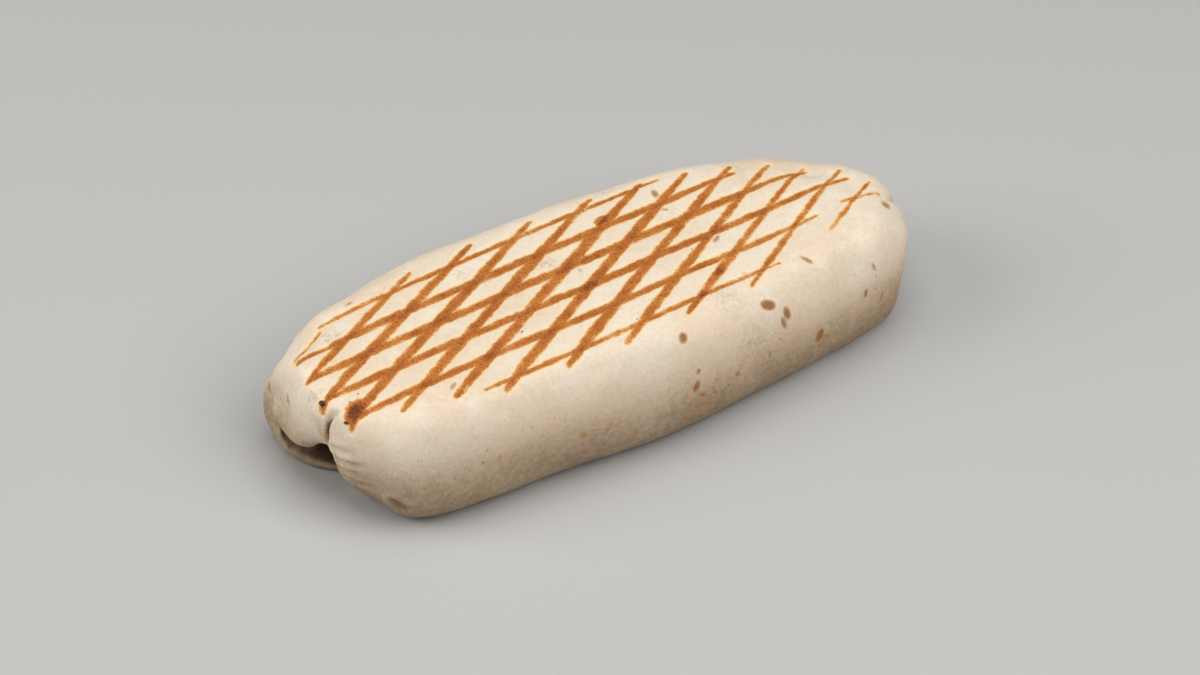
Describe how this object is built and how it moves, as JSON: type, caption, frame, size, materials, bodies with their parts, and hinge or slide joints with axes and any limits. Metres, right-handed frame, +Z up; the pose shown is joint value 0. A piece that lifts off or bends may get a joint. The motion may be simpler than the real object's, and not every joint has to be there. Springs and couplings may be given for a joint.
{
  "type": "burrito",
  "caption": "Flour-tortilla burrito, rolled and pressed flat with crossed grill marks, its end folded in round a tucked nose above an open lip.",
  "frame": {"origin": "bottom middle of the burrito's box, on the surface it rests on", "axes": "+X along the roll, away from the end with the open tuck; +Y towards the back wall; +Z up, out of the grilled top"},
  "size_m": [0.2162, 0.093, 0.0405],
  "materials": {
    "tortilla": "soft matt flour tortilla with crossed brown grill marks and small toasted spots"
  },
  "bodies": {
    "root": {"burrito": "tortilla"}
  },
  "joints": []
}
